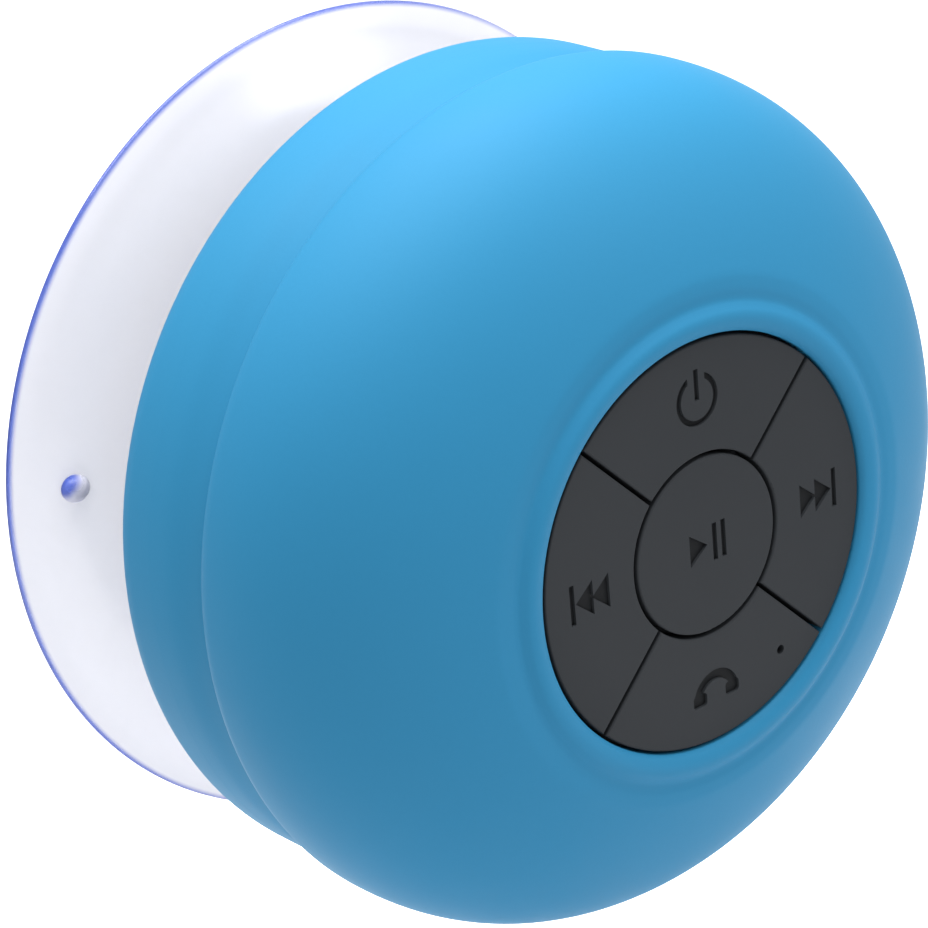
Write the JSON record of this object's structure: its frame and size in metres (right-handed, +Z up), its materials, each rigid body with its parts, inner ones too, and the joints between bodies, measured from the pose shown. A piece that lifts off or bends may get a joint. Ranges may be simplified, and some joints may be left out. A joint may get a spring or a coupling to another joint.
{
  "type": "shower speaker",
  "caption": "Round waterproof shower speaker: domed blue silicone body, raised bead round a dark keypad with sector keys, clear suction cup behind.",
  "frame": {"origin": "centre of the circle where the suction cup meets the wall", "axes": "+Y into the wall along the speaker axis, -Y the way the keypad faces, +Z up with the symbols upright, +X right as seen from the front"},
  "size_m": [0.0842, 0.0527, 0.0842],
  "materials": {
    "blue_silicone": "soft matte",
    "keypad_silicone": "soft matte",
    "cup_pvc": "clear soft plastic",
    "grommet_rubber": "matte",
    "abs_shell": "moulded",
    "back_plate": "fine texture",
    "seal_rubber": "matte",
    "steel_screws": "zinc plated",
    "black_plastic": "moulded",
    "circuit_board": "solder mask",
    "chip_black": "moulded",
    "capacitor_metal": "satin",
    "foam": "foam",
    "battery_foil": "foil",
    "steel": "zinc plated",
    "ferrite": "dull",
    "basket_steel": "black paint",
    "copper": "enamelled wire",
    "cone_paper": "pressed pulp",
    "spider_cloth": "resin cloth",
    "mesh_cloth": "fine mesh",
    "lead_plastic": "wire insulation",
    "switch_plunger": "moulded"
  },
  "bodies": {
    "cup": {"suction_cup": "cup_pvc"},
    "grommet": {"socket_grommet": "grommet_rubber"},
    "speaker": {"acoustic_mesh": "mesh_cloth", "amplifier_chip": "chip_black", "battery": "battery_foil", "battery_leads": "lead_plastic", "battery_pad": "foam", "battery_protection_board": "circuit_board", "bluetooth_module": "chip_black", "board_capacitors": "capacitor_metal", "board_screws": "steel_screws", "charge_board": "circuit_board", "charge_leads": "lead_plastic", "charge_socket": "capacitor_metal", "charger_chip": "chip_black", "driver_basket": "basket_steel", "driver_gasket": "foam", "driver_magnet": "ferrite", "driver_screws": "steel_screws", "driver_terminals": "circuit_board", "driver_top_plate": "steel", "driver_yoke": "steel", "front_housing": "abs_shell", "front_skin": "blue_silicone", "housing_screws": "steel_screws", "housing_seal": "seal_rubber", "keypad_web": "keypad_silicone", "main_board": "circuit_board", "microphone": "capacitor_metal", "microphone_boot": "seal_rubber", "rear_housing": "back_plate", "rear_skin": "blue_silicone", "socket_tongue": "black_plastic", "speaker_leads": "lead_plastic", "spider": "spider_cloth", "surround": "seal_rubber", "switch_bases": "black_plastic"},
    "play_pause_key": {"play_pause_key": "keypad_silicone", "play_pause_plunger": "switch_plunger"},
    "power_key": {"power_key": "keypad_silicone", "power_plunger": "switch_plunger"},
    "next_key": {"next_key": "keypad_silicone", "next_plunger": "switch_plunger"},
    "previous_key": {"previous_key": "keypad_silicone", "previous_plunger": "switch_plunger"},
    "call_key": {"call_key": "keypad_silicone", "call_plunger": "switch_plunger"},
    "port_flap": {"port_flap": "keypad_silicone"},
    "cone": {"speaker_cone": "cone_paper", "dust_cap": "cone_paper", "voice_coil": "copper"}
  },
  "joints": [
    {"name": "cup_pull_off", "type": "slide", "parent": "cup", "child": "grommet", "axis": [0, -1, 0], "range_m": [0, 0.008]},
    {"name": "speaker_swivel", "type": "hinge", "parent": "grommet", "child": "speaker", "pos_m": [0, 0, 0], "axis": [0, 1, 0], "continuous": true},
    {"name": "port_flap_hinge", "type": "hinge", "parent": "speaker", "child": "port_flap", "pos_m": [0, -0.01675, -0.0329], "axis": [-1, 0, 0], "range_deg": [0, 90]},
    {"name": "cone_travel", "type": "slide", "parent": "speaker", "child": "cone", "axis": [0, 1, 0], "range_m": [-0.001, 0.001], "stiffness_N_per_m": 1200, "deforming": ["spider", "surround"]},
    {"name": "play_pause_press", "type": "slide", "parent": "speaker", "child": "play_pause_key", "axis": [0, 1, 0], "range_m": [0, 0.0003], "stiffness_N_per_m": 4000},
    {"name": "power_press", "type": "slide", "parent": "speaker", "child": "power_key", "axis": [0, 1, 0], "range_m": [0, 0.0003], "stiffness_N_per_m": 4000},
    {"name": "next_press", "type": "slide", "parent": "speaker", "child": "next_key", "axis": [0, 1, 0], "range_m": [0, 0.0003], "stiffness_N_per_m": 4000},
    {"name": "previous_press", "type": "slide", "parent": "speaker", "child": "previous_key", "axis": [0, 1, 0], "range_m": [0, 0.0003], "stiffness_N_per_m": 4000},
    {"name": "call_press", "type": "slide", "parent": "speaker", "child": "call_key", "axis": [0, 1, 0], "range_m": [0, 0.0003], "stiffness_N_per_m": 4000}
  ]
}
